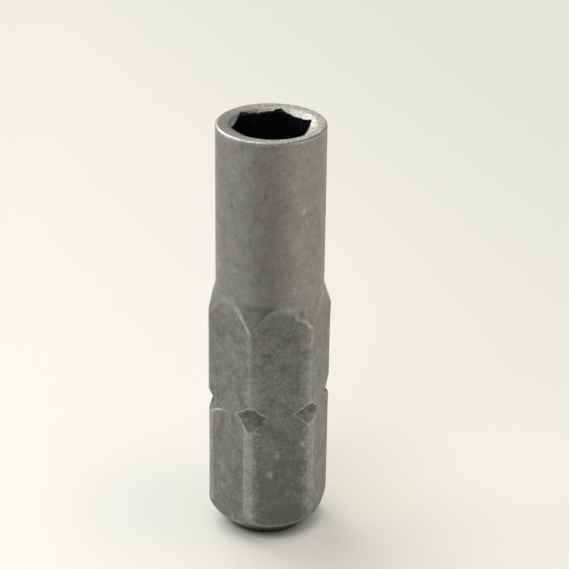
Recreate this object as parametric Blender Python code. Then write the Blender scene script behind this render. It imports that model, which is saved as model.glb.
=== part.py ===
"""Screwdriver bit adapter: a quarter-inch hex shank that carries small bits with 4 mm hex shanks.

The body is one length of hexagonal steel bar. A lathe turns the outline, which leaves flats where the bar is
smaller than the outline and round work where it is larger. The socket is drilled, countersunk and broached.
A disc magnet stands on cured adhesive at the bottom of the drilled hole and holds the bit.

Units are metres, +Z is up, and the origin is the centre of the shank's end face. A shank corner lies on +X.
"""

import math

import bmesh
import bpy
from mathutils import Matrix, Vector

MM = 0.001

# The body's driving dimensions
LENGTH = 25.0 * MM
HEX_ACROSS_FLATS = 6.32 * MM
CORNER_DIAMETER = 6.96 * MM
SLEEVE_DIAMETER = 6.14 * MM

# The shank's end: a chamfer that starts at the turned corners, and a rounded edge round the end face
END_CHAMFER_HEIGHT = 1.35 * MM
END_CHAMFER_ANGLE = math.radians(42.5)
END_CHAMFER_ROUND = 0.25 * MM
END_EDGE_ROUND = 0.43 * MM

# The detent groove, which is deep enough to notch the corners and too shallow to reach the flats
NOTCH_HEIGHT = 8.17 * MM
NOTCH_BOTTOM = NOTCH_HEIGHT - 0.52 * MM
NOTCH_TOP = NOTCH_HEIGHT + 0.76 * MM
NOTCH_FLOOR_DIAMETER = 6.52 * MM
NOTCH_FLOOR_ROUND = 0.15 * MM
NOTCH_LIP_ROUND = 0.12 * MM

# The conical shoulder between the shank's corners and the sleeve
SHOULDER_BOTTOM = 13.96 * MM
SHOULDER_TOP = 15.37 * MM
SHOULDER_CREST_ROUND = 0.50 * MM
SHOULDER_ROOT_ROUND = 0.60 * MM
RIM_ROUND = 0.12 * MM

# The socket: drilled, countersunk, then broached a few degrees off the shank's corners
SOCKET_ACROSS_FLATS = 4.05 * MM
SOCKET_DEPTH = 9.5 * MM
SOCKET_TURN = math.radians(5.5)
COUNTERSINK_DIAMETER = 4.80 * MM
COUNTERSINK_ANGLE = math.radians(60.0)
DRILL_DIAMETER = 4.00 * MM
DRILL_DEPTH = 12.6 * MM
DRILL_POINT_ANGLE = math.radians(59.0)

# The magnet and the adhesive under it, with the bond gap that the solids keep between them
MAGNET_DIAMETER = 3.90 * MM
MAGNET_HEIGHT = 3.00 * MM
MAGNET_EDGE_ROUND = 0.20 * MM
BOND_GAP = 0.05 * MM

# How finely the turned shapes are faceted, and how far a cutter reaches past what it cuts
TURNED_SEGMENTS = 120
MAGNET_SEGMENTS = 48
ARC_STEPS = 4
SMOOTH_ANGLE = math.radians(20.0)
CUTTER_REACH = 1.0 * MM
WELD_DISTANCE = 0.0005 * MM

HEX_SIDES = 6
DRILL_FLOOR = LENGTH - DRILL_DEPTH


def rounded_outline(corners):
    """Points of a half outline. Each corner is (radius, height, rounding), and a rounding becomes an arc."""
    points = []
    for index, (radius, height, rounding) in enumerate(corners):
        corner = Vector((radius, 0.0, height))
        if rounding == 0.0:
            points.append(corner)
            continue
        before = (Vector((corners[index - 1][0], 0.0, corners[index - 1][1])) - corner).normalized()
        after = (Vector((corners[index + 1][0], 0.0, corners[index + 1][1])) - corner).normalized()
        half_angle = before.angle(after) / 2
        centre = corner + (before + after).normalized() * rounding / math.sin(half_angle)
        start = corner + before * rounding / math.tan(half_angle) - centre
        end = corner + after * rounding / math.tan(half_angle) - centre
        for step in range(ARC_STEPS + 1):
            direction = start.normalized().slerp(end.normalized(), step / ARC_STEPS)
            points.append(centre + direction * rounding)
    return points


def add_object(name, mesh_builder, material=None):
    """A new object from a filled bmesh, shaded smooth up to the angle of a real edge."""
    bmesh.ops.recalc_face_normals(mesh_builder, faces=mesh_builder.faces[:])
    mesh = bpy.data.meshes.new(name)
    mesh_builder.to_mesh(mesh)
    mesh_builder.free()
    mesh.shade_smooth()
    mesh.set_sharp_from_angle(angle=SMOOTH_ANGLE)
    if material is not None:
        mesh.materials.append(material)
    made = bpy.data.objects.new(name, mesh)
    bpy.context.scene.collection.objects.link(made)
    return made


def turned(name, corners, segments=TURNED_SEGMENTS, material=None):
    """A lathe-turned solid from a half outline that starts and ends on the axis."""
    builder = bmesh.new()
    points = [builder.verts.new(point) for point in rounded_outline(corners)]
    outline = [builder.edges.new(pair) for pair in zip(points, points[1:])]
    bmesh.ops.spin(
        builder,
        geom=points + outline,
        axis=(0.0, 0.0, 1.0),
        cent=(0.0, 0.0, 0.0),
        angle=math.tau,
        steps=segments,
        use_merge=True,
    )
    bmesh.ops.remove_doubles(builder, verts=builder.verts[:], dist=WELD_DISTANCE)
    return add_object(name, builder, material)


def hex_bar(name, across_flats, bottom, top, turn=0.0):
    """A hexagonal prism with one corner turned from +X about Z."""
    builder = bmesh.new()
    circumradius = across_flats / 2 / math.cos(math.pi / HEX_SIDES)
    lift = Matrix.Translation((0.0, 0.0, (bottom + top) / 2))
    # A new cone has its first corner on +Y, a quarter turn from +X
    aim = Matrix.Rotation(turn - math.pi / 2, 4, "Z")
    bmesh.ops.create_cone(
        builder,
        cap_ends=True,
        segments=HEX_SIDES,
        radius1=circumradius,
        radius2=circumradius,
        depth=top - bottom,
        matrix=lift @ aim,
    )
    return add_object(name, builder)


def machine(workpiece, tool, operation):
    """One machining step: the tool stays as a hidden wire helper."""
    step = workpiece.modifiers.new(tool.name, "BOOLEAN")
    step.operation = operation
    step.object = tool
    tool.hide_render = True
    tool.display_type = "WIRE"


def finish(name, colour, roughness, metallic):
    """A plain finish for one material."""
    material = bpy.data.materials.new(name)
    material.use_nodes = True
    shader = material.node_tree.nodes["Principled BSDF"]
    shader.inputs["Base Color"].default_value = (*colour, 1.0)
    shader.inputs["Roughness"].default_value = roughness
    shader.inputs["Metallic"].default_value = metallic
    return material


def adapter_body():
    """The steel body: hex bar inside the turned outline, less the drilled and broached socket."""
    corner = CORNER_DIAMETER / 2
    sleeve = SLEEVE_DIAMETER / 2
    end_face = corner - END_CHAMFER_HEIGHT * math.tan(END_CHAMFER_ANGLE)
    steel = finish("tumbled_steel", (0.20, 0.20, 0.19), 0.5, 1.0)
    body = turned(
        "adapter_body",
        [
            (0.0, 0.0, 0.0),
            (end_face, 0.0, END_EDGE_ROUND),
            (corner, END_CHAMFER_HEIGHT, END_CHAMFER_ROUND),
            (corner, NOTCH_BOTTOM, NOTCH_LIP_ROUND),
            (NOTCH_FLOOR_DIAMETER / 2, NOTCH_HEIGHT, NOTCH_FLOOR_ROUND),
            (corner, NOTCH_TOP, NOTCH_LIP_ROUND),
            (corner, SHOULDER_BOTTOM, SHOULDER_CREST_ROUND),
            (sleeve, SHOULDER_TOP, SHOULDER_ROOT_ROUND),
            (sleeve, LENGTH, RIM_ROUND),
            (0.0, LENGTH, 0.0),
        ],
        material=steel,
    )
    bar = hex_bar("bar_stock", HEX_ACROSS_FLATS, -CUTTER_REACH, LENGTH + CUTTER_REACH)
    machine(body, bar, "INTERSECT")

    drill = DRILL_DIAMETER / 2
    countersink = COUNTERSINK_DIAMETER / 2
    flare = CUTTER_REACH * math.tan(COUNTERSINK_ANGLE)
    drill_and_countersink = turned(
        "drill_and_countersink",
        [
            (0.0, DRILL_FLOOR - drill / math.tan(DRILL_POINT_ANGLE), 0.0),
            (drill, DRILL_FLOOR, 0.0),
            (drill, LENGTH - (countersink - drill) / math.tan(COUNTERSINK_ANGLE), 0.0),
            (countersink + flare, LENGTH + CUTTER_REACH, 0.0),
            (0.0, LENGTH + CUTTER_REACH, 0.0),
        ],
    )
    machine(body, drill_and_countersink, "DIFFERENCE")

    broach = hex_bar(
        "hex_broach", SOCKET_ACROSS_FLATS, LENGTH - SOCKET_DEPTH, LENGTH + CUTTER_REACH, SOCKET_TURN
    )
    machine(body, broach, "DIFFERENCE")
    return [body, bar, drill_and_countersink, broach]


def magnet_adhesive():
    """Cured adhesive that fills the drill point, so that the magnet above it has a flat seat."""
    top_radius = DRILL_DIAMETER / 2 - BOND_GAP / math.cos(DRILL_POINT_ANGLE)
    depth = top_radius / math.tan(DRILL_POINT_ANGLE)
    resin = finish("cured_resin", (0.10, 0.06, 0.02), 0.35, 0.0)
    plug = turned(
        "magnet_adhesive",
        [(0.0, -depth, 0.0), (top_radius, 0.0, 0.0), (0.0, 0.0, 0.0)],
        segments=MAGNET_SEGMENTS,
        material=resin,
    )
    plug.location.z = DRILL_FLOOR
    return [plug]


def bit_magnet():
    """Nickel-plated disc magnet with rounded edges, standing on the adhesive."""
    radius = MAGNET_DIAMETER / 2
    nickel = finish("nickel_plate", (0.60, 0.57, 0.52), 0.25, 1.0)
    magnet = turned(
        "bit_magnet",
        [
            (0.0, 0.0, 0.0),
            (radius, 0.0, MAGNET_EDGE_ROUND),
            (radius, MAGNET_HEIGHT, MAGNET_EDGE_ROUND),
            (0.0, MAGNET_HEIGHT, 0.0),
        ],
        segments=MAGNET_SEGMENTS,
        material=nickel,
    )
    magnet.location.z = DRILL_FLOOR + BOND_GAP
    return [magnet]


def main():
    for old in list(bpy.data.objects):
        bpy.data.objects.remove(old)
    assembly = bpy.data.objects.new("bit_adapter", None)
    bpy.context.scene.collection.objects.link(assembly)
    for piece in adapter_body() + magnet_adhesive() + bit_magnet():
        piece.parent = assembly


main()
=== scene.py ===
"""Looks of the screwdriver bit adapter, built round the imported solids. Sizes are in metres, +Z is up."""

import math

import bpy
import numpy as np
from mathutils import Euler, Matrix, Vector


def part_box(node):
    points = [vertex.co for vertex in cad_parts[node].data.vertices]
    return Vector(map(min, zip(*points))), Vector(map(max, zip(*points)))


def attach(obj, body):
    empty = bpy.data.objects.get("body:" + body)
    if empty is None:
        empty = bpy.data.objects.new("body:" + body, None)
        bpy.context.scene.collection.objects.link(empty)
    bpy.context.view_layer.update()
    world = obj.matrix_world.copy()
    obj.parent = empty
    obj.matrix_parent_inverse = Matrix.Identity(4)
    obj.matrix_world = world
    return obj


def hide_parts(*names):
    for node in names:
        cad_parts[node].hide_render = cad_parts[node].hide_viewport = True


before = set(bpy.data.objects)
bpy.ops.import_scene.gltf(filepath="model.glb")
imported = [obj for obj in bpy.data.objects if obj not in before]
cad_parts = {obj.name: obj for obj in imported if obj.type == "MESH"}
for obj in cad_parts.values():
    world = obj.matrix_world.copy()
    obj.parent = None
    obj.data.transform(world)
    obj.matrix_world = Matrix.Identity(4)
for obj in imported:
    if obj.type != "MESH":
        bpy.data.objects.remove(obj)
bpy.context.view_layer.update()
bpy.ops.object.select_all(action="DESELECT")


# Steel body
# One length of hexagonal bar, turned from the shank's end to the rim, then drilled, countersunk and
# broached. Tumbling with abrasive chips has softened every edge and left the steel a dull, uneven grey.
MM = 0.001
SIXTH = math.radians(60.0)
body_low, body_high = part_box("adapter_body")
LENGTH = body_high.z - body_low.z
HALF_FLATS = body_high.y
CORNER = body_high.x
LOWER_CORNER = CORNER + 0.035 * MM
UPPER_CORNER = CORNER + 0.11 * MM
SHOULDER_CORNER = CORNER + 0.10 * MM

# The shank's end was ground a little to one side
END_ROUND = 0.43 * MM
END_CHAMFER_HEIGHT = 1.35 * MM
END_CHAMFER_ANGLE = math.radians(42.5)
END_CHAMFER_ROUND = 1.0 * MM
END_SHIFT = 0.08 * MM
END_SHIFT_ANGLE = math.radians(167.2)
END_SHIFT_TOP = 2.2 * MM
END_SHIFT_FADE = 1.2 * MM

NOTCH_HEIGHT = 8.17 * MM
NOTCH_REACH = 1.1 * MM
SHOULDER_BOTTOM = 13.83 * MM
SHOULDER_TOP = 15.32 * MM
SHOULDER_CREST_ROUND = 0.40 * MM
SHOULDER_ROOT_ROUND = 1.8 * MM
SLEEVE = 3.085 * MM
RIM_ROUND = 0.14 * MM
RIM_EDGE = 0.2 * MM
RIM_DEPTH = 0.3 * MM

# The countersink was cut a little to another side
COUNTERSINK = 2.42 * MM
COUNTERSINK_ROUND = 0.25 * MM
COUNTERSINK_SHIFT = 0.14 * MM
COUNTERSINK_SIDE = math.radians(-50.0)
MOUTH_MARGIN = 0.05 * MM
HALF_SOCKET = 2.025 * MM
SOCKET_FLOOR = LENGTH - 9.5 * MM
SOCKET_TURN = math.radians(5.5)
DRILL = 2.0 * MM
DRILL_FLOOR = LENGTH - 12.6 * MM
DRILL_POINT_ANGLE = math.radians(59.0)

# How far each kind of edge is rounded over, where the wear of the upper corners starts and ends, and how
# far the cutters tore the notches and the socket's mouth
CRISP_EDGE = 0.025 * MM
NOTCH_EDGE = 0.03 * MM
SHOULDER_EDGE = 0.045 * MM
ROUNDED_EDGE = 0.10 * MM
WORN_EDGE = 0.38 * MM
WORN_BOTTOM = NOTCH_HEIGHT + MM
WORN_TOP = SHOULDER_BOTTOM - 0.5 * MM
MOST_WORN_CORNER = 3
NOTCH_TEAR = 0.006 * MM
MOUTH_TEAR = 0.013 * MM
MOUTH_TEAR_START = LENGTH - 1.0 * MM
MOUTH_TEAR_FULL = LENGTH - 0.2 * MM

# How finely the mesh follows the shape
COLUMNS = 432
ROW = 0.045 * MM
ARC_STEPS = 4
EDGE_MARGIN = 0.07 * MM
WELD = 0.001 * MM

end_face = CORNER - END_CHAMFER_HEIGHT * math.tan(END_CHAMFER_ANGLE)
lathe_path = [
    (0.0, 0.0, 0.0),
    (end_face, 0.0, END_ROUND),
    (LOWER_CORNER, END_CHAMFER_HEIGHT, END_CHAMFER_ROUND),
    (LOWER_CORNER, NOTCH_HEIGHT - NOTCH_REACH, 0.0),
    (UPPER_CORNER, NOTCH_HEIGHT + NOTCH_REACH, 0.0),
    (SHOULDER_CORNER, SHOULDER_BOTTOM, SHOULDER_CREST_ROUND),
    (SLEEVE, SHOULDER_TOP, SHOULDER_ROOT_ROUND),
    (SLEEVE, LENGTH, RIM_ROUND),
    (COUNTERSINK, LENGTH, COUNTERSINK_ROUND),
    (DRILL, LENGTH - (COUNTERSINK - DRILL) / math.tan(SIXTH), 0.0),
    (DRILL, SOCKET_FLOOR, 0.0),
    (DRILL, SOCKET_FLOOR - 2 * WELD, 0.0),
    (DRILL, DRILL_FLOOR, 0.0),
    (0.0, DRILL_FLOOR - DRILL / math.tan(DRILL_POINT_ANGLE), 0.0),
]


def rounded(path):
    """The points of a lathe path of (radius, height, rounding), with each rounding as an arc.

    Points are a row apart on arcs and slopes. A level or upright stretch has a few, most near its ends.
    """
    corners = [Vector((radius, 0.0, height)) for radius, height, _ in path]
    points = []
    for index, (_, _, rounding) in enumerate(path):
        corner = corners[index]
        arc = [corner]
        if rounding:
            back = (corners[index - 1] - corner).normalized()
            ahead = (corners[index + 1] - corner).normalized()
            half = back.angle(ahead) / 2
            centre = corner + (back + ahead).normalized() * rounding / math.sin(half)
            first = (corner + back * rounding / math.tan(half) - centre).normalized()
            last = (corner + ahead * rounding / math.tan(half) - centre).normalized()
            steps = max(ARC_STEPS, math.ceil(first.angle(last) * rounding / ROW))
            arc = [centre + first.slerp(last, step / steps) * rounding for step in range(steps + 1)]
        if points:
            before = points[-1]
            run = arc[0] - before
            if corner.x and min(abs(run.x), abs(run.z)) > ROW:
                steps = math.ceil(run.length / ROW)
                shares = [step / steps for step in range(1, steps)]
            else:
                margin = min(EDGE_MARGIN / run.length, 0.2)
                shares = [margin, 2 * margin, 0.5, 1 - 2 * margin, 1 - margin]
            points.extend(before + run * share for share in shares)
        points.extend(arc)
    return points


outline = rounded(lathe_path)
bpy.ops.mesh.primitive_plane_add(size=ROW, location=outline[0])
body = bpy.context.object
body.name = "steel_body"
bpy.ops.object.mode_set(mode="EDIT")
bpy.ops.mesh.merge(type="CENTER")
for here, there in zip(outline, outline[1:]):
    bpy.ops.mesh.extrude_vertices_move(TRANSFORM_OT_translate={"value": there - here})
bpy.ops.object.mode_set(mode="OBJECT")
lathe = body.modifiers.new("lathe", "SCREW")
lathe.angle = math.tau
lathe.steps = COLUMNS
lathe.render_steps = COLUMNS
lathe.use_merge_vertices = True
lathe.merge_threshold = WELD
bpy.ops.object.modifier_apply(modifier=lathe.name)
bpy.ops.object.mode_set(mode="EDIT")
bpy.ops.mesh.select_all(action="SELECT")
bpy.ops.mesh.remove_doubles(threshold=WELD)
bpy.ops.mesh.normals_make_consistent(inside=False)
bpy.ops.object.mode_set(mode="OBJECT")
bpy.ops.object.transform_apply(location=True, rotation=True, scale=True)

# Both ends of the turned blank are shifted. Then every vertex moves in or out to the hex, its notch or the
# socket.
places = np.empty(3 * len(body.data.vertices))
body.data.vertices.foreach_get("co", places)
places = places.reshape(-1, 3)
near_end = np.clip((END_SHIFT_TOP - places[:, 2]) / END_SHIFT_FADE, 0.0, 1.0)
places[:, 0] += END_SHIFT * math.cos(END_SHIFT_ANGLE) * near_end
places[:, 1] += END_SHIFT * math.sin(END_SHIFT_ANGLE) * near_end
from_axis = np.hypot(places[:, 0], places[:, 1])
mouth_edges = (DRILL, DRILL + WELD, COUNTERSINK, SLEEVE - RIM_EDGE)
near_mouth = np.interp(from_axis, mouth_edges, (0.0, 1.0, 1.0, 0.0))
near_mouth[places[:, 2] < LENGTH - RIM_DEPTH] = 0.0
places[:, 0] += COUNTERSINK_SHIFT * math.cos(COUNTERSINK_SIDE) * near_mouth
places[:, 1] += COUNTERSINK_SHIFT * math.sin(COUNTERSINK_SIDE) * near_mouth
radius = np.maximum(np.hypot(places[:, 0], places[:, 1]), WELD)
angle = np.arctan2(places[:, 1], places[:, 0])
height = places[:, 2]
in_socket = (height > DRILL_FLOOR - DRILL) & (radius < COUNTERSINK + MOUTH_MARGIN)


def soft_least(first, second, softness):
    """The lesser of two radii, rounded over where they are close. Swap the signs for the greater."""
    closeness = np.maximum(softness - abs(first - second), 0.0) / softness
    return np.minimum(first, second) - closeness * closeness * softness / 4


# The bar's corners are crisp low down and worn round above the notches, one right up to the shoulder
edge_heights = (NOTCH_HEIGHT, WORN_BOTTOM, WORN_TOP, SHOULDER_BOTTOM)
softness = np.interp(height, edge_heights, (ROUNDED_EDGE, ROUNDED_EDGE, ROUNDED_EDGE, SHOULDER_EDGE))
corner_wear = np.interp(height, edge_heights, (CRISP_EDGE, WORN_EDGE, WORN_EDGE, CRISP_EDGE))
corner_number = np.rint(angle / SIXTH).astype(int) % 6
corner_wear[(corner_number == MOST_WORN_CORNER) & (height > WORN_BOTTOM)] = WORN_EDGE
corner_offset = (angle + SIXTH / 2) % SIXTH - SIXTH / 2
near_flat = HALF_FLATS / np.cos(abs(corner_offset) - SIXTH / 2)
far_flat = HALF_FLATS / np.cos(abs(corner_offset) + SIXTH / 2)
flat = soft_least(near_flat, far_flat, corner_wear)

# The shoulder's cone is dented at two places and stands out at one. Each has its angle in degrees, its
# height in millimetres, its spread to the sides and upwards in the same units, and how far it stands out.
SHOULDER_DENTS = (
    (180.0, 14.4, 16.0, 0.8, -0.04),
    (240.0, 13.9, 7.0, 0.5, 0.025),
    (286.0, 14.7, 10.0, 0.5, -0.12),
)
turned = radius.copy()
for degrees, middle, spread, tallness, stand in SHOULDER_DENTS:
    aside = ((angle - math.radians(degrees) + math.pi) % math.tau - math.pi) / math.radians(spread)
    upward = (height / MM - middle) / tallness
    turned += stand * MM * np.exp(-(aside**2) - upward**2)
bar = soft_least(turned, flat, softness)

# Each corner has a notch of its own, in millimetres: the radius and height of its floor, and how far up and
# down its flanks reach
NOTCHES = (
    (3.19, 8.42, 0.70, 0.42),
    (3.24, 8.20, 0.55, 0.55),
    (3.24, 8.20, 0.55, 0.55),
    (3.15, 8.08, 0.62, 0.54),
    (3.24, 8.31, 0.48, 0.83),
    (3.24, 8.35, 0.50, 0.60),
)
# The tear is a sum of waves: how often each goes round, how steeply it climbs, and where it starts
TORN_WAVES = ((19, 5, 0.0), (31, -4, 0.0), (47, 7, 2.0))
notch_radius, notch_height, upper_flank, lower_flank = (MM * np.array(NOTCHES))[corner_number].T
above = height - notch_height
flank = np.where(above > 0, above / upper_flank, -above / lower_flank)
ragged = sum(np.sin(turns * angle + climb * height / MM + phase) for turns, climb, phase in TORN_WAVES)
notch = notch_radius + (CORNER - notch_radius) * flank + ragged * NOTCH_TEAR
notch = np.where(in_socket, 2 * CORNER, notch)
milled = soft_least(bar, notch, NOTCH_EDGE)

wall = HALF_SOCKET / np.cos((angle - SOCKET_TURN) % SIXTH - SIXTH / 2)
wall += ragged * np.interp(height, (MOUTH_TEAR_START, MOUTH_TEAR_FULL), (0.0, MOUTH_TEAR))
broached = -soft_least(-radius, -wall, CRISP_EDGE)
broached = np.where(height > SOCKET_FLOOR - WELD, broached, radius)
shaped = np.where(in_socket, broached, milled)
places[:, :2] *= (shaped / radius)[:, None]
body.data.vertices.foreach_set("co", places.ravel())
body.data.update()
bpy.ops.object.shade_smooth()


def edge_turn(mesh, passes):
    """How sharply the surface turns outward at each vertex, per metre, spread over its neighbours."""
    count = len(mesh.vertices)
    points = np.empty(3 * count)
    mesh.vertices.foreach_get("co", points)
    points = points.reshape(-1, 3)
    normals = np.empty(3 * count)
    mesh.vertex_normals.foreach_get("vector", normals)
    normals = normals.reshape(-1, 3)
    ends = np.empty(2 * len(mesh.edges), dtype=int)
    mesh.edges.foreach_get("vertices", ends)
    first, second = ends.reshape(-1, 2).T
    along = points[second] - points[first]
    turn = ((normals[second] - normals[first]) * along).sum(axis=1) / (along * along).sum(axis=1)
    sharpest = np.zeros(count)
    np.maximum.at(sharpest, first, turn)
    np.maximum.at(sharpest, second, turn)
    neighbours = np.bincount(first, minlength=count) + np.bincount(second, minlength=count)
    for _ in range(passes):
        nearby = np.bincount(first, sharpest[second], count) + np.bincount(second, sharpest[first], count)
        sharpest = (sharpest + nearby / neighbours) / 2
    return sharpest


def keep(name, values):
    """Keeps one number for each vertex of the body, for its material to read."""
    attribute = body.data.attributes.new(name, "FLOAT", "POINT")
    attribute.data.foreach_set("value", values)


# An edge as sharp as this radius, or sharper, is fully worn
WORN_RADIUS = 0.15 * MM
WEAR_SPREAD = 2
keep("edge_wear", np.clip(edge_turn(body.data, WEAR_SPREAD) * WORN_RADIUS, 0.0, 1.0))

# Each corner is worn further towards one of its flats, and the side alternates. Below the notches the wear
# is a band with clear edges that starts at the chamfer. Above them a painted highlight runs along the
# ridge and fades on the flat.
RIDGE_WIDTH = math.radians(2.4)
RIDGE_PLACES = (0.0, 0.5, 5.0)
RIDGE_HIGHLIGHT = (0.0, 0.7, 0.0)
BAND_PLACES = (-3.5, -2.9, 0.6, 1.5, 2.8, 3.6)
BAND_WEAR = (-1.0, 1.0, 1.0, -0.2, -0.2, -1.0)
NO_BAND = -2.0
BAND_BOTTOM = END_CHAMFER_HEIGHT - 0.5 * MM
CHAMFER_TOP = END_CHAMFER_HEIGHT + 0.2 * MM
CHAMFER_FADE = 0.05 * MM
lower_shank = (height > BAND_BOTTOM) & (height < NOTCH_HEIGHT)
upper_shank = (height > NOTCH_HEIGHT) & (height < SHOULDER_BOTTOM) & ~in_socket
worn_offset = np.where(corner_number % 2, -corner_offset, corner_offset) / RIDGE_WIDTH
turned_corner = np.interp(worn_offset, BAND_PLACES, BAND_WEAR)
turned_corner = np.where(height > CHAMFER_TOP, turned_corner, (flat - radius) / CHAMFER_FADE)
keep("turned_corner", np.where(lower_shank, np.clip(turned_corner, -1.0, 1.0), NO_BAND))
ridge = np.maximum(np.exp(-(worn_offset**2)), np.interp(worn_offset, RIDGE_PLACES, RIDGE_HIGHLIGHT))
keep("ridge", np.where(upper_shank, ridge, 0.0))

# The rim's land was faced on the lathe and is lighter, and a painted highlight brightens it towards one
# side
HIGHLIGHT_SIDE = math.radians(-12.8)
POLISH = 0.62
HIGHLIGHT_SWING = 0.38
COUNTERSINK_POLISH = 0.8
POLISH_DEPTH = 0.15 * MM
LAND_MARGIN = 0.02 * MM
on_rim = (height > LENGTH - RIM_DEPTH) & (radius < SLEEVE - LAND_MARGIN)
polish_and_highlight = POLISH + HIGHLIGHT_SWING * np.cos(angle - HIGHLIGHT_SIDE)
polish_and_highlight += (COUNTERSINK_POLISH - polish_and_highlight) * np.clip((LENGTH - height) / POLISH_DEPTH, 0.0, 1.0)
keep("faced_land_and_highlight", np.where(on_rim, polish_and_highlight, 0.0))

# The notches are darkened inside with painted shade, and a painted highlight brightens their edges, most of
# all at the upper ones
NOTCH_FADE = 0.08 * MM
LIP_WIDTH = 0.025 * MM
keep("notch", np.clip((bar - notch) / NOTCH_FADE, 0.0, 1.0))
lip = np.exp(-(((bar - notch) / LIP_WIDTH) ** 2))
keep("lip", np.where(above > 0, lip, 0.5 * lip))

# Where the cone runs into the flats a painted highlight brightens its arcs, most of all at one side of each
# corner
CREST_WIDTH = 0.06 * MM
CREST_BOTTOM = SHOULDER_BOTTOM - 0.05 * MM
CREST_PLACES = (-0.5, -0.34, -0.24, -0.02, 0.03, 0.5)
CREST_HIGHLIGHT = (0.3, 0.4, 1.0, 1.0, 0.2, 0.3)
crest = np.exp(-(((turned - flat) / CREST_WIDTH) ** 2))
crest *= np.interp(corner_offset / SIXTH, CREST_PLACES, CREST_HIGHLIGHT)
keep("crest", np.where((height > CREST_BOTTOM) & ~in_socket, crest, 0.0))

# Painted shade darkens one side of the shank towards its end, and painted shade makes the inside of the
# socket darker still
FRONT_SHADE_SIDE = math.radians(-87.0)
FRONT_SHADE_BOTTOM = 1.0 * MM
FRONT_SHADE_TOP = 10 * MM
front_shade = np.clip(np.cos(angle - FRONT_SHADE_SIDE), 0.0, 1.0) ** 4
keep("front_shade", front_shade * np.interp(height, (FRONT_SHADE_BOTTOM, FRONT_SHADE_TOP), (1.0, 0.0)))
# The inside of the socket is darkened with painted shade
inside = in_socket & ((wall > radius) | (height < SOCKET_FLOOR))
keep("broached", np.where(inside, 1.0, 0.0))


class Signal:
    """An output of a material's nodes. Arithmetic on signals adds Math nodes to the same material."""

    def __init__(self, tree, socket=None):
        self.tree = tree
        self.socket = socket

    def node(self, kind, settings=None, inputs=None, output=0):
        """Adds a node, sets it up, fills or links its inputs, and returns one of its outputs."""
        made = self.tree.nodes.new(kind)
        for name, value in (settings or {}).items():
            setattr(made, name, value)
        for name, value in (inputs or {}).items():
            if isinstance(value, Signal):
                self.tree.links.new(value.socket, made.inputs[name])
            else:
                made.inputs[name].default_value = value
        return Signal(self.tree, made.outputs[output])

    def math(self, operation, *values):
        return self.node("ShaderNodeMath", {"operation": operation}, dict(enumerate(values)))

    def __add__(self, other):
        return self.math("ADD", self, other)

    __radd__ = __add__

    def __sub__(self, other):
        return self.math("SUBTRACT", self, other)

    def __rsub__(self, other):
        return self.math("SUBTRACT", other, self)

    def __mul__(self, other):
        return self.math("MULTIPLY", self, other)

    __rmul__ = __mul__

    def place(self):
        """The point on the piece, in millimetres."""
        point = self.node("ShaderNodeTexCoord", output="Object")
        return point.stretched((1 / MM, 1 / MM, 1 / MM))

    def coordinate(self, axis):
        """One coordinate of a point."""
        return self.node("ShaderNodeSeparateXYZ", inputs={"Vector": self}, output=axis)

    def stretched(self, scale, turn=(0.0, 0.0, 0.0)):
        return self.node("ShaderNodeMapping", inputs={"Vector": self, "Rotation": turn, "Scale": scale})

    def noise(self, scale, detail=2.0, coarseness=0.5):
        inputs = {"Vector": self, "Scale": scale, "Detail": detail, "Roughness": coarseness}
        return self.node("ShaderNodeTexNoise", inputs=inputs)

    def distance(self, point):
        return self.node("ShaderNodeVectorMath", {"operation": "DISTANCE"}, {0: self, 1: point}, "Value")

    def rise(self, low, high):
        """0 below the low value, 1 above the high one, and smooth between them."""
        inputs = {"Value": self, "From Min": low, "From Max": high}
        return self.node("ShaderNodeMapRange", {"interpolation_type": "SMOOTHSTEP"}, inputs)

    def blend(self, colour, other):
        """From one colour, where the signal is 0, to the other, where it is 1."""
        settings = {"data_type": "RGBA", "clamp_factor": True}
        ends = {0: self}
        # A Mix node's two colours are its inputs 6 and 7, and its mixed colour is its output 2
        for index, end in ((6, colour), (7, other)):
            ends[index] = end if isinstance(end, Signal) else (*end, 1.0)
        return self.node("ShaderNodeMix", settings, ends, 2)

    def read(self, name):
        return self.node("ShaderNodeAttribute", {"attribute_name": name}, output="Fac")

    def feed(self, shader, socket):
        self.tree.links.new(self.socket, shader.inputs[socket])


def new_material(name, metallic):
    """A material with a Principled shader, and a signal to start its nodes from."""
    material = bpy.data.materials.new(name)
    material.use_nodes = True
    shader = material.node_tree.nodes["Principled BSDF"]
    shader.inputs["Metallic"].default_value = metallic
    return material, shader, Signal(material.node_tree)


COOL_DARK = (0.148, 0.153, 0.150)
COOL_LIGHT = (0.306, 0.313, 0.308)
WARM_DARK = (0.149, 0.148, 0.138)
WARM_LIGHT = (0.313, 0.310, 0.292)
# Bare steel, also the colour of painted highlights
STEEL_BARE_AND_HIGHLIGHT = (0.45, 0.45, 0.44)
STEEL_EDGE_TINT = (0.88, 0.88, 0.88, 1.0)
# The grey of pits, also used for painted shade inside the notches
PIT_AND_SHADE_GREY = (0.10, 0.10, 0.095)
# Painted shade at the shank's end
PAINTED_END_SHADE = (0.006, 0.006, 0.006)
RIM_BRIGHT = (0.68, 0.68, 0.66)
# Painted shade inside the socket
SOCKET_PAINTED_SHADE = (0.085, 0.095, 0.115)
RELIEF_DEPTH = 0.02 * MM
RELIEF_STRENGTH = 0.3

# The levels in millimetres between which the shank's finish gives way to the sleeve's, and the painted
# shade of the end gives way to the chamfer
SHANK_FADE = (13.6, 15.2)
END_FADE = (0.25, 0.95)

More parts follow.
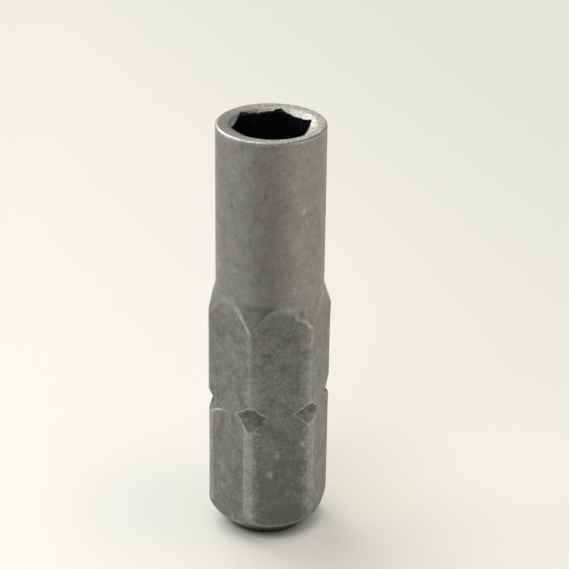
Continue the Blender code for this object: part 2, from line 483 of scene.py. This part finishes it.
# Dings and pits that can be seen one by one: the angle in degrees, and the height and radius in
# millimetres.
# Some of the lighter marks, such as the one on the chamfer, are painted glints rather than dings.
DINGS_AND_GLINTS = (
    (216.0, 23.08, 0.13),
    (293.9, 20.78, 0.20),
    (298.1, 20.12, 0.17),
    (190.1, 16.98, 0.18),
    (277.4, 14.93, 0.18),
    (292.1, 6.38, 0.18),
    (266.7, 5.75, 0.28),
    (259.6, 4.53, 0.24),
    (200.4, 2.94, 0.18),
    (217.2, 1.20, 0.18),
)
PITS = (
    (240.5, 23.82, 0.20),
    (253.0, 21.90, 0.20),
    (214.6, 20.99, 0.16),
    (236.6, 19.19, 0.20),
    (246.4, 16.84, 0.18),
    (282.0, 14.62, 0.32),
    (266.5, 12.87, 0.20),
    (202.2, 8.86, 0.20),
    (227.4, 8.31, 0.16),
    (265.9, 4.42, 0.24),
)
# A mark's width as a share of its height
MARK_WIDTH = 0.6


def marks(place, spots):
    """1 in the middle of each spot on the sleeve or on a flat, and 0 away from them."""
    flattened = place.stretched((1.0, 1.0, MARK_WIDTH))
    masks = []
    for degrees, spot_level, size in spots:
        toward = math.radians(degrees)
        reach = HALF_FLATS / math.cos(toward % SIXTH - SIXTH / 2)
        if spot_level * MM > SHOULDER_TOP:
            reach = SLEEVE
        point = (reach / MM * math.cos(toward), reach / MM * math.sin(toward), spot_level * MARK_WIDTH)
        masks.append(1 - flattened.distance(point).rise(0.0, size))
    return sum(masks)


# The tumbled finish: patches and grains of several sizes, and on them the wear, the pits and the marks, and
# painted highlights and painted shade
steel, steel_shader, start = new_material("tumbled_steel", 1.0)
steel_shader.inputs["Specular Tint"].default_value = STEEL_EDGE_TINT
place = start.place()
level = place.coordinate("Z")
shank = 1 - level.rise(*SHANK_FADE)
cloud = place.noise(0.35, 2.0)
mottle = place.noise(1.4, 4.0, 0.85)
fleck = place.noise(5.0, 2.0, 0.7)
grit = place.noise(9.0, 2.0, 0.7)
hue = place.noise(0.9, 1.0).rise(0.35, 0.65)
pits = fleck.rise(0.66, 0.74) * shank
nicks = place.stretched((3.0, 3.0, 1.4), (0.5, 0.3, 0.0)).noise(1.0, 1.0).rise(0.76, 0.82)
wear = (start.read("edge_wear") * (mottle * 1.8 - 0.2)).rise(0.1, 0.8)
band = (start.read("turned_corner") + (fleck - 0.5) * 2.5).rise(-0.8, 0.8) * 0.42
# The ridge adds a painted highlight to the worn bands
band = (band + start.read("ridge") * 0.4) * (mottle * 1.6 + grit * 2.0 - 0.8)
dings_and_glints = marks(place, DINGS_AND_GLINTS) * (fleck + 0.3)
rim = start.read("faced_land_and_highlight")
rim_pits = grit.rise(0.42, 0.62) * 0.5 + fleck.rise(0.45, 0.62) * 0.45

# Painted shade darkens one side of the shank towards its end
tone = 0.63 - 0.25 * shank - 0.55 * start.read("front_shade") + (cloud - 0.5) * 0.25
tone = tone + (mottle - 0.5) * (1.3 + 0.8 * shank) + (fleck - 0.5) * 0.7 + (grit - 0.5) * shank
colour = hue.blend(tone.blend(COOL_DARK, COOL_LIGHT), tone.blend(WARM_DARK, WARM_LIGHT))
colour = (pits * 0.4).blend(colour, PIT_AND_SHADE_GREY)
# Bare steel at nicks, worn edges, bands and dings, with painted highlights along the ridges and at glints
colour = (nicks * 0.35 + wear * 0.6 + band + dings_and_glints * 0.6).blend(colour, STEEL_BARE_AND_HIGHLIGHT)
# The rim's land is lighter, with a painted highlight towards one side
colour = (rim * (mottle * 0.6 + 0.7)).blend(colour, RIM_BRIGHT)
colour = ((rim * 0.5 + rim.rise(0.0, 0.2) * 0.4) * rim_pits).blend(colour, PIT_AND_SHADE_GREY)
# Painted shade inside the notches, and a painted highlight along their lips
colour = (start.read("notch") * (1.1 - fleck * 1.2)).blend(colour, PIT_AND_SHADE_GREY)
colour = (start.read("lip") * fleck.rise(0.38, 0.62)).blend(colour, STEEL_BARE_AND_HIGHLIGHT)
# A painted highlight along the cone's arcs
colour = (start.read("crest") * (fleck * 1.2 + mottle * 0.6 - 0.1)).blend(colour, STEEL_BARE_AND_HIGHLIGHT)
colour = (marks(place, PITS) * (1.0 - fleck)).blend(colour, PIT_AND_SHADE_GREY)
# Painted shade at the shank's end, over the paper
colour = (1 - level.rise(*END_FADE)).blend(colour, PAINTED_END_SHADE)
# Painted shade inside the socket
colour = start.read("broached").blend(colour, SOCKET_PAINTED_SHADE)
colour.feed(steel_shader, "Base Color")
roughness = 0.35 + 0.04 * shank - (mottle - 0.5) * 0.15 - wear * 0.06 + pits * 0.1 + rim * 0.22
roughness = roughness + start.read("notch") * 0.14
roughness.feed(steel_shader, "Roughness")
relief = mottle - pits * 0.4 - nicks * 0.4 + rim * (fleck + grit) * 12.0
bump_inputs = {"Height": relief, "Strength": RELIEF_STRENGTH, "Distance": RELIEF_DEPTH}
start.node("ShaderNodeBump", inputs=bump_inputs).feed(steel_shader, "Normal")
body.data.materials.append(steel)
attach(body, "root")
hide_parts("adapter_body")


# Adhesive
# A drop of brown resin in the drill point at the bottom of the socket.
# It cured there under the magnet, which it holds.
DISC_SIDES = 96
PLUG_EDGE_ANGLE = math.radians(30.0)
RESIN_CLEAR = (0.16, 0.095, 0.03)
RESIN_CLOUDY = (0.08, 0.05, 0.02)
plug_low, plug_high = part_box("magnet_adhesive")
bpy.ops.object.select_all(action="DESELECT")
bpy.ops.mesh.primitive_cone_add(
    vertices=DISC_SIDES,
    radius1=0.0,
    radius2=plug_high.x,
    depth=plug_high.z - plug_low.z,
    location=(0.0, 0.0, (plug_low.z + plug_high.z) / 2),
)
plug = bpy.context.object
plug.name = "resin_plug"
bpy.ops.object.transform_apply(location=True, rotation=True, scale=True)
bpy.ops.object.shade_smooth_by_angle(angle=PLUG_EDGE_ANGLE)
resin, resin_shader, start = new_material("cured_resin", 0.0)
resin_cloud = start.place().noise(1.5)
resin_cloud.rise(0.35, 0.65).blend(RESIN_CLEAR, RESIN_CLOUDY).feed(resin_shader, "Base Color")
(0.3 + resin_cloud * 0.2).feed(resin_shader, "Roughness")
plug.data.materials.append(resin)
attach(plug, "root")
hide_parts("magnet_adhesive")


# Magnet
# A disc of sintered rare earth at the bottom of the socket, which holds the bit by its end.
# It was tumbled to round its edges and plated with nickel, and it stands on the adhesive.
MAGNET_ROUND = 0.20 * MM
MAGNET_ROUND_STEPS = 5
MAGNET_EDGE_ANGLE = math.radians(15.0)
NICKEL_BRIGHT = (0.64, 0.61, 0.56)
NICKEL_RUBBED = (0.46, 0.44, 0.41)
magnet_low, magnet_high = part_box("bit_magnet")
bpy.ops.object.select_all(action="DESELECT")
bpy.ops.mesh.primitive_cylinder_add(
    vertices=DISC_SIDES,
    radius=magnet_high.x,
    depth=magnet_high.z - magnet_low.z,
    location=(0.0, 0.0, (magnet_low.z + magnet_high.z) / 2),
)
magnet = bpy.context.object
magnet.name = "magnet_disc"
bpy.ops.object.transform_apply(location=True, rotation=True, scale=True)
rounding = magnet.modifiers.new("rounding", "BEVEL")
rounding.width = MAGNET_ROUND
rounding.segments = MAGNET_ROUND_STEPS
bpy.ops.object.modifier_apply(modifier=rounding.name)
bpy.ops.object.shade_smooth_by_angle(angle=MAGNET_EDGE_ANGLE)
nickel, nickel_shader, start = new_material("nickel_plate", 1.0)
rubbing = start.place().stretched((1.0, 4.0, 1.0)).noise(2.5, 4.0, 0.6).rise(0.35, 0.7)
rubbing.blend(NICKEL_BRIGHT, NICKEL_RUBBED).feed(nickel_shader, "Base Color")
(0.2 + rubbing * 0.2).feed(nickel_shader, "Roughness")
magnet.data.materials.append(nickel)
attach(magnet, "root")
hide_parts("bit_magnet")


# Floor
# A table top covered with plain pale paper, under the adapter. It isn't part of the object.
# Places on it are in millimetres: to the picture's right, away from the camera, and up.
CORNER_TURN = math.radians(12.78)
TABLE_SIDE = 2.0
PAPER_ROUGHNESS = 0.9
PAPER_BRIGHT = (0.91, 0.89, 0.85)
PAPER_DIM = (0.725, 0.728, 0.68)
PAPER_WARM_SHADE = (0.79, 0.765, 0.665)
PAPER_COOL_SHADOW = (0.74, 0.78, 0.78)
PAPER_SHADED = (0.12, 0.12, 0.11)
PAPER_CONTACT_SHADOW = (0.10, 0.09, 0.08)
COOL_SHADOW_PLACE = (-5.0, 0.5, 0.0)
WARM_SHADE_PLACE = (4.5, 0.0, 0.0)
CONTACT_PLACE = (0.4, 0.0, 0.0)
SHADOW_PLACE = (-0.4, -0.2, 0.0)
FRONT_PLACE = (0.0, -52.0, 0.0)
FRONT_REACH = (15.0, 49.0)
SIDE_REACH = (18.0, 40.0)
FRONT_GLOW = (0.40, 0.36, 0.38)
LEFT_GLOW = (0.74, 0.71, 0.71)
RIGHT_GLOW = (1.11, 1.03, 0.87)
GLOW_STRENGTH = 1.22
SEEN_GLOW = 0.5
bpy.ops.object.select_all(action="DESELECT")
bpy.ops.mesh.primitive_plane_add(size=TABLE_SIDE, location=(0.0, 0.0, 0.0))
floor = bpy.context.object
floor.name = "table_top"
paper, paper_shader, start = new_material("pale_paper", 0.0)
paper_shader.inputs["Roughness"].default_value = PAPER_ROUGHNESS
table = start.place().stretched((1.0, 1.0, 1.0), (0.0, 0.0, CORNER_TURN))
rightward = table.coordinate("X")
away = table.coordinate("Y")
# The paper's colour has painted shading that dims it towards the back and the right, and a painted cool
# shadow at the adapter's left
paper_colour = (rightward * 0.012 + away * 0.008).rise(-0.3, 1.0).blend(PAPER_BRIGHT, PAPER_DIM)
cool_shadow = 1 - table.distance(COOL_SHADOW_PLACE).rise(1.0, 9.0)
paper_colour = (cool_shadow * 0.55).blend(paper_colour, PAPER_COOL_SHADOW)
# The table outside the picture shows only in the steel: its colour and glow are painted darker in front of
# the adapter and brighter at its sides, as painted shade and painted light
front = 1 - table.stretched((0.85, 1.0, 1.0)).distance(FRONT_PLACE).rise(*FRONT_REACH)
left = (rightward * -1.0).rise(*SIDE_REACH)
right = (rightward - away * 0.25).rise(*SIDE_REACH)
# Beside the adapter the paper's colour has a painted warm shade, and a painted contact shadow where the
# adapter touches it
warm_shade = 1 - table.distance(WARM_SHADE_PLACE).rise(4.0, 13.0)
contact_shadow = 1 - table.distance(CONTACT_PLACE).rise(2.4, 3.1)
shaded_paper_colour = (warm_shade * 0.8).blend(paper_colour, PAPER_WARM_SHADE)
shaded_paper_colour = (contact_shadow * 0.85).blend(shaded_paper_colour, PAPER_CONTACT_SHADOW)
(front * 0.4).blend(shaded_paper_colour, PAPER_SHADED).feed(paper_shader, "Base Color")
glow_colour = left.blend(paper_colour, LEFT_GLOW)
glow_colour = right.blend(glow_colour, RIGHT_GLOW)
glow_colour = front.blend(glow_colour, FRONT_GLOW)
glow = start.node("ShaderNodeEmission", inputs={"Color": glow_colour, "Strength": GLOW_STRENGTH})
seen = start.node("ShaderNodeLightPath", output="Is Camera Ray")
for ray in ("Is Glossy Ray", "Is Transmission Ray"):
    seen = seen + start.node("ShaderNodeLightPath", output=ray)
# The glow fades out under the adapter, where the paper is in its shadow
from_shadow = table.distance(SHADOW_PLACE)
clear = from_shadow.rise(1.8, 4.0) * 0.7 + from_shadow.rise(4.5, 16.0) * 0.3
paper_surface = Signal(paper.node_tree, paper_shader.outputs["BSDF"])
surfaces = {0: seen * clear * SEEN_GLOW, 1: paper_surface, 2: glow}
lit_paper = start.node("ShaderNodeMixShader", inputs=surfaces)
lit_paper.feed(paper.node_tree.nodes["Material Output"], "Surface")
floor.data.materials.append(paper)


# Light
# Large soft lamps stand round the adapter in a dim room: the main one behind it to the left, a cool one at
# its left and warm ones at its right, and weaker ones overhead, low at the back and in front of it.
# Each has its azimuth and elevation in degrees, its width in metres and its radiance.
LAMPS = {
    "back_lamp": (125.0, 42.0, 0.9, (4.0, 3.8, 3.4)),
    "overhead_lamp": (90.0, 85.0, 0.6, (1.2, 1.2, 1.1)),
    "low_back_lamp": (66.0, 13.0, 0.4, (1.8, 1.8, 1.7)),
    "left_lamp": (172.0, 17.0, 0.58, (4.25, 4.5, 4.65)),
    "low_left_lamp": (205.0, 15.0, 0.5, (0.9, 0.9, 0.85)),
    "front_left_lamp": (240.0, 38.0, 0.7, (2.45, 2.45, 2.35)),
    "front_right_lamp": (330.0, 12.0, 0.4, (1.9, 1.75, 1.8)),
    "right_lamp": (0.0, 12.0, 0.4, (1.8, 1.55, 1.2)),
}
LAMP_DISTANCE = 1.0
ROOM_GREY = (0.04, 0.04, 0.04, 1.0)
scene = bpy.context.scene
room = bpy.data.worlds.new("room")
scene.world = room
room.use_nodes = True
room.node_tree.nodes["Background"].inputs["Color"].default_value = ROOM_GREY
for name, (azimuth, elevation, width, radiance) in LAMPS.items():
    # Azimuths are from the picture's right, counted towards the back
    bearing = math.radians(azimuth) - CORNER_TURN
    up = math.radians(elevation)
    outward = Vector((math.cos(up) * math.cos(bearing), math.cos(up) * math.sin(bearing), math.sin(up)))
    bpy.ops.object.light_add(type="AREA", location=outward * LAMP_DISTANCE)
    lamp = bpy.context.object
    lamp.name = name
    lamp.rotation_euler = (-outward).to_track_quat("-Z", "Y").to_euler()
    lamp.data.shape = "DISK"
    lamp.data.size = width
    brightest = max(radiance)
    lamp.data.color = [part / brightest for part in radiance]
    # A disc of radiance 1 sends out its area times pi watts
    lamp.data.energy = brightest * math.pi * math.pi * (width / 2) ** 2


# Camera
# It stands in front of the adapter, as far from it and as high as the photograph's perspective shows.
# Its place is counted from the adapter's end, as the picture shows it: to the right, to the back and up.
CAMERA_PLACE = Vector((0.830 * MM, -106.56 * MM, 66.69 * MM))
CAMERA_DOWN = math.radians(25.80)
CAMERA_ROLL = math.radians(0.712)
IMAGE_SIDE = 569
FOCAL_PIXELS = 2085.6
SENSOR_WIDTH = 36.0
bpy.ops.object.camera_add()
camera = bpy.context.object
camera.data.sensor_width = SENSOR_WIDTH
camera.data.lens = SENSOR_WIDTH * FOCAL_PIXELS / IMAGE_SIDE
camera.data.clip_start = MM
turn = Matrix.Rotation(-CORNER_TURN, 4, "Z")
aim = Euler((math.pi / 2 - CAMERA_DOWN, 0.0, 0.0)).to_matrix().to_4x4()
camera.matrix_world = turn @ Matrix.Translation(CAMERA_PLACE) @ aim @ Matrix.Rotation(CAMERA_ROLL, 4, "Z")
scene.camera = camera
scene.view_settings.view_transform = "Standard"
